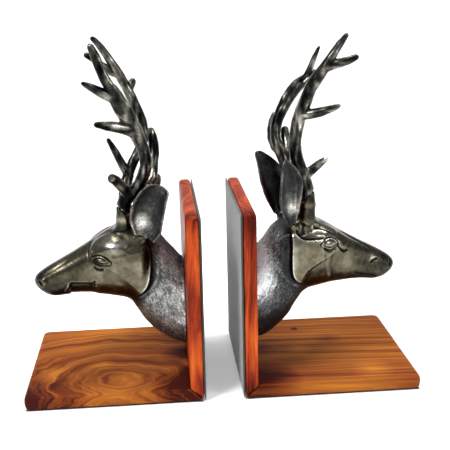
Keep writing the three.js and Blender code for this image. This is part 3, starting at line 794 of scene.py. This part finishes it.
def painted_seat_highlight(points, unit):
    """A thin band round the top of each pedicle, painted light as a highlight along the joint."""
    mine = in_unit(points, unit)
    lean = np.array([-0.61, 0, 0.79])
    rim = np.zeros(len(points))
    for side in ("front", "rear"):
        off = mine - seat_of(f"{unit}_{side}_antler_stud", unit)
        near = 1 - smoothstep(9, 12, np.linalg.norm(off, axis=1))
        rim = np.maximum(rim, near * smoothstep(-1.6, -0.5, off @ lean))
    return rim


def swelling(points, unit):
    """The pedicles bulge a little below the joint."""
    share, depth = along_pedicle(points, unit)
    return 0.9 * share * np.exp(-(((depth - 9) / 4.5) ** 2))


def hair_strokes(at, side, unit):
    """Short chased strokes on the neck, pointing to and from the hair's pole."""
    rng = np.random.default_rng(41 if unit == "left" else 42)
    total = np.zeros(len(at))
    for _ in range(HAIR_STROKES):
        centre = rng.uniform((0, 30), (40, 142))
        heading = centre - HAIR_POLE
        angle = math.atan2(heading[1], heading[0]) + rng.normal(0, 0.16)
        d = np.array([math.cos(angle), math.sin(angle)])
        length, width, depth = rng.uniform(3, 5.5), rng.uniform(0.5, 0.7), rng.uniform(0.05, 0.16)
        flank = 1 if rng.random() < 0.5 else -1
        close = (np.abs(at - centre) < length).all(axis=1) & (side == flank)
        off = at[close] - centre
        along, across = off @ d, off @ np.array([-d[1], d[0]])
        total[close] -= depth * np.exp(-((across / width) ** 2)) * np.exp(-((along / (0.6 * length)) ** 4))
    return total


def longer(points, unit):
    """How much of the smoothing's loss at the nose is given back, along the row."""
    share = smoothstep(112, 139, in_straight_head(points, unit)[:, 0])
    return share[:, None] * np.array([1.0, 0, 0])


def softened_head(mesh, unit):
    """The head with the facets and the seams between its forms smoothed away."""
    points, edges = points_of(mesh), edges_of(mesh)
    points = fair(points, edges, HEAD_FAIRING)
    points = fair(points, edges, SKULL_FAIRING, softening(points, unit))
    points = smoothed(points, edges, PEDICLE_SMOOTHING, pedicle_foot(points, unit))
    return points + NOSE_LENGTHENING * OUTWARD[unit] * longer(points, unit)


def head_relief(unit, points, side, at, neck_at, neck):
    """How far the chasing raises each place of the face and the neck."""
    heights = FACES[unit](at)
    heights += crease(neck_at, NECK_FOLD[unit], 0.8, 1.8) * neck
    heights += hair_strokes(neck_at, side, unit) * neck
    heights += 0.35 * noise(points, 9, 5) * (0.3 + 0.7 * neck)
    return heights


def hair_flow(neck_at, side):
    """A place for a texture that is drawn out along the neck's hair."""
    heading = neck_at - HAIR_POLE
    turn = np.arctan2(heading[:, 0], -heading[:, 1])
    return np.stack([turn * 95, np.hypot(*heading.T) * 0.16, side * 3], 1)


def head(unit, material):
    node_name = f"{unit}_head_casting"
    piece = copy_of(node_name, HEAD_VOXEL)
    mesh = piece.data
    points = softened_head(mesh, unit)
    set_points(mesh, points)
    mine = in_unit(points, unit)
    side = np.sign(mine[:, 1])
    normals = in_unit(normals_of(mesh), unit)
    outer = smoothstep(-0.02, 0.25, normals[:, 1] * side)
    at = in_straight_head(points, unit)[:, [0, 2]]
    neck_at = np.stack([mine[:, 0] - INNER_FACE, mine[:, 2]], 1)
    behind = np.interp(at[:, 1], *JAW_BACK[unit]) - at[:, 0]
    neck = smoothstep(0.5, 4, behind)
    heights = head_relief(unit, points, side, at, neck_at, neck)
    heights *= outer * smoothstep(0.3, 3, neck_at[:, 0])
    heights += swelling(points, unit)
    set_points(mesh, points + normals_of(mesh) * heights[:, None])
    set_attribute(mesh, "cavity", cavity_of(mesh))
    tone = head_tone(unit, at, neck_at, behind, neck) + seat_tone(unit, points)
    # painted shade: whatever faces down is darkened
    tone -= 0.55 * smoothstep(0.15, 0.75, -normals[:, 2])
    # painted shade: on the neck, whatever faces up is darkened
    tone -= 0.35 * smoothstep(0.45, 0.85, normals[:, 2]) * neck
    set_attribute(mesh, "tone", tone)
    set_attribute(mesh, "hair", neck * NECK_SILVERING[unit])
    set_attribute(mesh, "flow", hair_flow(neck_at, side))
    finish_casting(piece, unit, node_name, material)


PAINTED_HIGHLIGHTS_AND_SHADE = {  # places painted lighter as highlights or darker as shade: centre, radii, turn and amount
    "left": [
        ((69, 134), (10, 4.5), -12, 0.5), ((43, 118), (5, 12), 0, 0.3), ((60, 98), (16, 7), 0, 0.1),
        ((112, 112), (12, 4), -28, 0.22), ((104, 116), (14, 3), -32, -0.3),
        ((83, 120), (5, 3.5), 20, -0.8), ((37.5, 126), (3.5, 16), 0, -0.9),
    ],
    "right": [
        ((60, 138), (9, 3), -6, 0.45), ((38.5, 116), (2.5, 18), 0, 0.45), ((66, 146), (12, 3.5), -25, 0.2),
        ((112, 108), (14, 4), -22, 0.15), ((86, 118), (5, 8), -30, -0.5), ((60, 88), (20, 3), 0, -0.35),
    ],
}
# painted highlights: the band at each pedicle's joint and on the pedicle's swelling, per unit
SEAT_HIGHLIGHT = {"left": 1.6, "right": 0.15}
PEDICLE_HIGHLIGHT = {"left": 0.6, "right": 0.3}
# painted shade in the crease behind the jaw, per unit
PAINTED_SHADE_BEHIND_JAW = {"left": 0.8, "right": 0.25}
NECK_SILVERING = {"left": 0.75, "right": 0.95}
NECK_PAINTED_LIGHT = {  # painted light and shade on the neck: tone low down and at the throat, and the painted light added towards the board higher up
    "left": (0.25, 0.15),
    "right": (-0.6, 2.1),
}


def head_tone(unit, at, neck_at, behind, neck):
    """Painted light and shade on the patina: painted highlights on the cheeks and brow, and painted shade on
    the muzzle, nose, behind the jaw and at the throat, with painted light on the neck near the board.
    """
    reach = at[:, 0]
    # painted shade: the muzzle and the nose are darkened
    face = -0.3 * smoothstep(78, 112, reach) - 0.25 * smoothstep(120, 136, reach)
    for centre, radii, turn, amount in PAINTED_HIGHLIGHTS_AND_SHADE[unit]:
        face += bump(at, centre, radii, amount, turn)
    ground, sheen_towards_board = NECK_PAINTED_LIGHT[unit]
    # painted light: the upper neck towards the board is lightened
    near_board = 1 - smoothstep(6, 34, neck_at[:, 0])
    flank = ground + sheen_towards_board * near_board * smoothstep(62, 92, neck_at[:, 1])
    # painted shade along the crease behind the jaw
    flank -= PAINTED_SHADE_BEHIND_JAW[unit] * np.exp(-(((behind - 3) / 4.5) ** 2))
    return face * (1 - neck) + flank * neck


def seat_tone(unit, points):
    """Dark, uneven pedicles with a painted highlight on the swelling and a painted highlight band at the rim.
    """
    share, depth = along_pedicle(points, unit)
    swell_highlight = np.exp(-(((depth - 9) / 4) ** 2))
    dark = share * (0.3 * noise(points, 5, 51) - 0.75 + PEDICLE_HIGHLIGHT[unit] * swell_highlight)
    return SEAT_HIGHLIGHT[unit] * painted_seat_highlight(points, unit) + dark


def finish_casting(piece, unit, node_name, material):
    piece.data.shade_smooth()
    piece.data.materials.append(material)
    dress(piece, unit, "bronze", node_name)


# ---------- antlers ----------
def antler(unit, side, material):
    node_name = f"{unit}_{side}_antler"
    piece = copy_of(node_name, ANTLER_VOXEL)
    mesh = piece.data
    points, edges = points_of(mesh), edges_of(mesh)
    points = fair(points, edges, ANTLER_FAIRING)
    set_points(mesh, points)
    normals = normals_of(mesh)
    facing = np.einsum("ij,ik->ijk", normals, normals).reshape(-1, 9)
    facing = smoothed(facing, edges, 40).reshape(-1, 3, 3)
    axis = np.linalg.eigh(facing)[1][:, :, 0]
    grooves = streaks_along(points, edges, axis, 7)
    heights = 0.25 + 0.3 * grooves + 0.2 * noise(points, 12, 9)
    top = 1000 * cad_box[1].z - 0.3
    points = points + normals * heights[:, None]
    points[:, 2] = np.minimum(points[:, 2], top)
    set_points(mesh, points)
    # the grooves also colour the tines: partly rubbed wear on the ridges, partly painted highlight streaks
    # along them
    set_attribute(mesh, "cavity", np.maximum(0.6 * cavity_of(mesh), -0.4) + 0.75 * grooves)
    set_attribute(mesh, "tone", -0.5 + 0.3 * noise(points, 22, 11))
    set_attribute(mesh, "hair", np.full(len(points), 0.3))
    set_attribute(mesh, "flow", points)
    finish_casting(piece, unit, node_name, material)


def streaks_along(points, edges, axis, seed):
    """Random values drawn out along each tine, about -1 to 1."""
    values = np.random.default_rng(seed).normal(0, 1, len(points))
    a, b = edges.T
    run = points[b] - points[a]
    run /= np.maximum(np.linalg.norm(run, axis=1), 1e-9)[:, None]
    weight = 0.02 + np.abs(np.einsum("ij,ij->i", run, axis[a])) ** 3
    count = len(points)
    total = np.bincount(a, weight, count) + np.bincount(b, weight, count)
    values = smoothed(values, edges, 7)
    for _ in range(50):
        pulled = np.bincount(a, weight * values[b], count) + np.bincount(b, weight * values[a], count)
        values = 0.3 * values + 0.7 * pulled / total
    return np.clip(values / (2 * values.std()), -1, 1)


# ---------- ears ----------
EARS = {  # front and rear are half widths from root to tip; tone darkens the whole ear, and on the right rear ear it is painted shade; painted_highlight is how strong a painted highlight spot is
    "left": [
        {
            "side": "front", "boss": (35, 23, 141), "tip": (17, 37, 192), "face": (0.25, 0.95, 0),
            "front": (9, 16, 18.7, 18.5, 16, 10.5), "rear": (10, 13.5, 12.5, 11, 9.5, 9),
            "tone": -0.45, "painted_highlight": 1.4, "veins": 0,
        },
        {
            "side": "rear", "boss": (38, -23, 142), "tip": (19, -36, 186), "face": (0.57, -0.82, 0),
            "front": (5, 13, 15, 13, 9, 3), "rear": (6, 11, 12, 10.5, 8, 4),
            "tone": -0.4, "painted_highlight": 0.3, "veins": 0,
        },
    ],
    "right": [
        {
            "side": "front", "boss": (38, -23, 146), "tip": (29, -36, 210), "face": (0.57, -0.82, 0),
            "front": (4, 9, 13, 15, 11, 2), "rear": (5, 11, 14, 13, 9, 2.5),
            "tone": -0.65, "painted_highlight": 1.5, "veins": 1,
        },
        {
            "side": "rear", "boss": (33, 23, 146), "tip": (14, 37, 205), "face": (0.26, 0.97, 0),
            "front": (4, 12, 17, 17, 12, 2.5), "rear": (4, 7, 8, 7, 4.5, 2.5),
            "tone": -0.95, "painted_highlight": 0, "veins": 1,
        },
    ],
}
EAR_CUP = 8
EAR_CURL = 3
EAR_DISH = 2
EAR_THICKNESS = 2.2
EAR_TIP = 0.955  # the share of its length at which an ear starts to round off
EAR_ROWS = 70
EAR_COLUMNS = 44


def unit_vector(v):
    return v / np.linalg.norm(v)


def boss_of(ear):
    """The top of the boss that an ear stands on, and the way it points."""
    reach, side, height = ear["boss"]
    seat = np.array([INNER_FACE + reach, side, height])
    foot = np.array([INNER_FACE + reach + 7, 0.4 * side, height - 13])
    return seat, unit_vector(seat - foot)


def widths_at(values, place):
    """Half widths between evenly spaced values, joined smoothly and rounded off at the tip."""
    line = curve_through([(i / (len(values) - 1), v) for i, v in enumerate(values)], 12)
    past_tip = np.maximum(place - EAR_TIP, 0) / (1 - EAR_TIP)
    rounding = np.sqrt(np.clip(1 - past_tip**2, 0.02, 1))
    return np.interp(place, line[:, 0], line[:, 1]) * rounding


def ear_grid(ear):
    """A grid of points on the ear's middle surface, from root to tip and from rear edge to front edge."""
    seat, upward = boss_of(ear)
    root = seat + 0.3 * upward
    tip = np.array([INNER_FACE + ear["tip"][0], *ear["tip"][1:]])
    length = np.linalg.norm(tip - root)
    along = unit_vector(tip - root)
    face = np.array(ear["face"])
    opening = unit_vector(face - (face @ along) * along)
    across = unit_vector(np.cross(along, opening))
    forward = -across if across[0] < 0 else across
    place = np.linspace(0, 1, EAR_ROWS)[:, None]
    side = np.sin(np.linspace(-math.pi / 2, math.pi / 2, EAR_COLUMNS))[None]
    front, rear = widths_at(ear["front"], place), widths_at(ear["rear"], place)
    width = np.where(side > 0, front, rear) * side
    hollow = EAR_CUP * np.maximum(front, rear) / 16 * side**2
    lift = EAR_CURL * place**2 - EAR_DISH * np.sin(math.pi * place) + hollow - EAR_THICKNESS / 2
    grid = root + (place * length)[..., None] * along + width[..., None] * forward
    return grid + lift[..., None] * opening, place, side, opening, along, root


def leaf(spec, grid, place, side, opening):
    """The ear's leaf with a beaded rim and, on some, two veins, as points and faces."""
    normal = np.cross(np.gradient(grid, axis=0), np.gradient(grid, axis=1))
    normal /= np.maximum(np.linalg.norm(normal, axis=2), 1e-9)[..., None]
    normal *= np.sign(normal @ opening)[..., None]
    rim = np.abs(side)
    bead = 0.18 * np.exp(-(((rim - 0.93) / 0.05) ** 2)) - 0.1 * np.exp(-(((rim - 0.8) / 0.07) ** 2))
    half = EAR_THICKNESS / 2 * (0.95 + bead) * np.sqrt(np.clip(1 - rim**14, 0.05, 1)) * np.ones_like(place)
    half *= smoothstep(-0.02, 0.03, 1 - place)
    veins = 0.4 * np.exp(-(((rim - 0.66) / 0.06) ** 2)) * smoothstep(0.15, 0.4, place)
    veins = veins * smoothstep(0, 0.3, 1 - place) * spec["veins"]
    inner = grid + (half + veins)[..., None] * normal
    outer = grid - half[..., None] * normal
    index = np.arange(side.size * place.size).reshape(place.size, side.size)
    quads = np.stack([index[:-1, :-1], index[1:, :-1], index[1:, 1:], index[:-1, 1:]], -1).reshape(-1, 4)
    border = np.r_[index[:-1, 0], index[-1, :-1], index[:0:-1, -1], index[0, :0:-1]]
    walls = np.stack([border, border + index.size, np.roll(border, -1) + index.size, np.roll(border, -1)], 1)
    points = np.vstack([inner.reshape(-1, 3), outer.reshape(-1, 3)])
    return points, [*quads.tolist(), *(quads[:, ::-1] + index.size).tolist(), *walls.tolist()]


def ear(unit, spec, material):
    grid, place, side, opening, along, root = ear_grid(spec)
    leaf_points, leaf_faces = leaf(spec, grid, place, side, opening)
    behind = root - 2.2 * opening
    shank = tapered_tube(behind - along, behind + 7 * along, 2.8, 1.2, len(leaf_points))
    node_name = f"{unit}_{spec['side']}_ear"
    mesh = bpy.data.meshes.new(node_name)
    vertices = in_unit(np.vstack([leaf_points, shank[0]]), unit) * MM
    mesh.from_pydata(vertices.tolist(), [], leaf_faces + shank[1])
    outward_faces(mesh)
    piece = remeshed(new_piece(f"{node_name}_bronze", mesh), EAR_VOXEL)
    mesh = piece.data
    points = smoothed(points_of(mesh), edges_of(mesh), 3)
    set_points(mesh, points)
    set_points(mesh, points + normals_of(mesh) * (0.22 * noise(points, 6, 21))[:, None])
    set_attribute(mesh, "cavity", cavity_of(mesh))
    # a painted highlight spot, low on the front half of the leaf, at the place called rubbed
    rubbed = in_unit(grid[EAR_ROWS // 4, 5 * EAR_COLUMNS // 8][None], unit)
    painted_highlight_spot = np.exp(-((np.linalg.norm(points - rubbed, axis=1) / 9) ** 2))
    set_attribute(mesh, "tone", spec["tone"] + spec["painted_highlight"] * painted_highlight_spot + 0.25 * noise(points, 7, 33))
    set_attribute(mesh, "hair", np.full(len(points), 0.5))
    set_attribute(mesh, "flow", points * 0.8)
    finish_casting(piece, unit, node_name, material)


def tapered_tube(start, end, radius, end_radius, first):
    """A closed tube with flat ends, as points and faces numbered from first."""
    sides = 24
    axis = unit_vector(end - start)
    a = unit_vector(np.cross(axis, (0.3, 0.1, 0.9)))
    b = np.cross(axis, a)
    angles = np.linspace(0, 2 * math.pi, sides, endpoint=False)
    circle = np.cos(angles)[:, None] * a + np.sin(angles)[:, None] * b
    rings = []
    for share in np.linspace(0, 1, 8):
        here = radius + share * (end_radius - radius)
        rings.append(start + share * (end - start) + circle * here)
    points = np.vstack([*rings, start[None], end[None]])
    faces = []
    for ring in range(len(rings) - 1):
        for k in range(sides):
            low, high = first + ring * sides, first + (ring + 1) * sides
            faces.append([low + k, low + (k + 1) % sides, high + (k + 1) % sides, high + k])
    last = first + (len(rings) - 1) * sides
    for k in range(sides):
        faces.append([first + (k + 1) % sides, first + k, first + len(rings) * sides])
        faces.append([last + k, last + (k + 1) % sides, first + len(rings) * sides + 1])
    return points, faces


# ---------- assembly ----------
BASE_TONE = {
    "dark": (0.035, 0.004, 0.002), "brown": (0.145, 0.031, 0.006),
    "middle": (0.26, 0.08, 0.012), "gold": (0.54, 0.18, 0.016),
}
UPRIGHT_TONE = {
    "dark": (0.045, 0.004, 0.002), "brown": (0.16, 0.016, 0.005),
    "middle": (0.35, 0.05, 0.009), "gold": (0.58, 0.14, 0.02),
}
# In the base patches, the dark ones by the upright are painted shade, the broad light ones towards the back
# are painted glare, and the light ones on the front edge are painted highlights.
BASE_WOOD = {
    "left": wood_material("left_base_wood", (-88, -46, 4), (0.72, 1.0, 2.5), BASE_TONE, [
        ((-88, -46, 13), 20, 0.4), ((-113, -12, 13), 14, 0.25), ((-158, -28, 13), 22, 0.35),
        ((-33, -60, 13), 34, -0.75), ((-36, 0, 13), 22, -0.5), ((-178, -76, 13), 60, -0.5),
        ((-110, 75, 13), 75, 0.25), ((-100, -76, 6), 40, 0.2),
    ]),
    "right": wood_material("right_base_wood", (60, -160, -40), (0.1, 1.0, 1.0), BASE_TONE, [
        ((33, -62, 13), 40, -0.7), ((34, 0, 13), 24, -0.4), ((83, 47, 13), 5, -0.7),
        ((112, 19, 13), 16, -0.2), ((80, -3, 13), 16, 0.2), ((139, -54, 13), 22, 0.25),
        ((115, 40, 13), 90, 0.2), ((120, -76, 6), 50, 0.15),
    ]),
}
# In the upright patches, the large dark one on the face behind the head is painted shade; the others make the
# front edge lighter or darker along its height.
UPRIGHT_WOOD = {
    "left": wood_material("left_upright_wood", (-70, 20, 90), (1.0, 1.0, 0.12), UPRIGHT_TONE, [
        ((-25, -75, 178), 22, -0.35), ((-25, -75, 100), 26, -0.3), ((-25, -75, 40), 30, 0.3),
        ((-31, 0, 95), 74, -0.55),
    ]),
    "right": wood_material("right_upright_wood", (80, -30, 60), (1.0, 1.0, 0.12), UPRIGHT_TONE, [
        ((25, -75, 165), 25, -0.25), ((25, -75, 60), 34, 0.25), ((25, -75, 4), 26, -0.3),
        ((31, 0, 95), 74, -0.55),
    ]),
}


def keep_steel():
    steel = steel_material()
    for name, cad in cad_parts.items():
        if "screw" in name or "stud" in name:
            cad.data.materials.clear()
            cad.data.materials.append(steel)


def build_unit(unit, number, bronze, felt):
    board(f"{unit}_base_board", unit, 0, BASE_WOOD[unit])
    board(f"{unit}_upright_board", unit, 2, UPRIGHT_WOOD[unit])
    for place, thin_axis, seed in (("base", 2, 60), ("upright", 0, 70)):
        lined = f"{unit}_{place}"
        felt_sheet(f"{lined}_felt", unit, thin_axis, felt, seed + number)
    head(unit, bronze)
    for side in ("front", "rear"):
        antler(unit, side, bronze)
    for spec in EARS[unit]:
        ear(unit, spec, bronze)


add_camera()
add_floor()
add_lights()
bpy.context.scene.view_settings.view_transform = "Standard"
cast_bronze = bronze_material()
black_felt = felt_material()
for unit_number, unit_name in enumerate(UNITS):
    build_unit(unit_name, unit_number, cast_bronze, black_felt)
keep_steel()
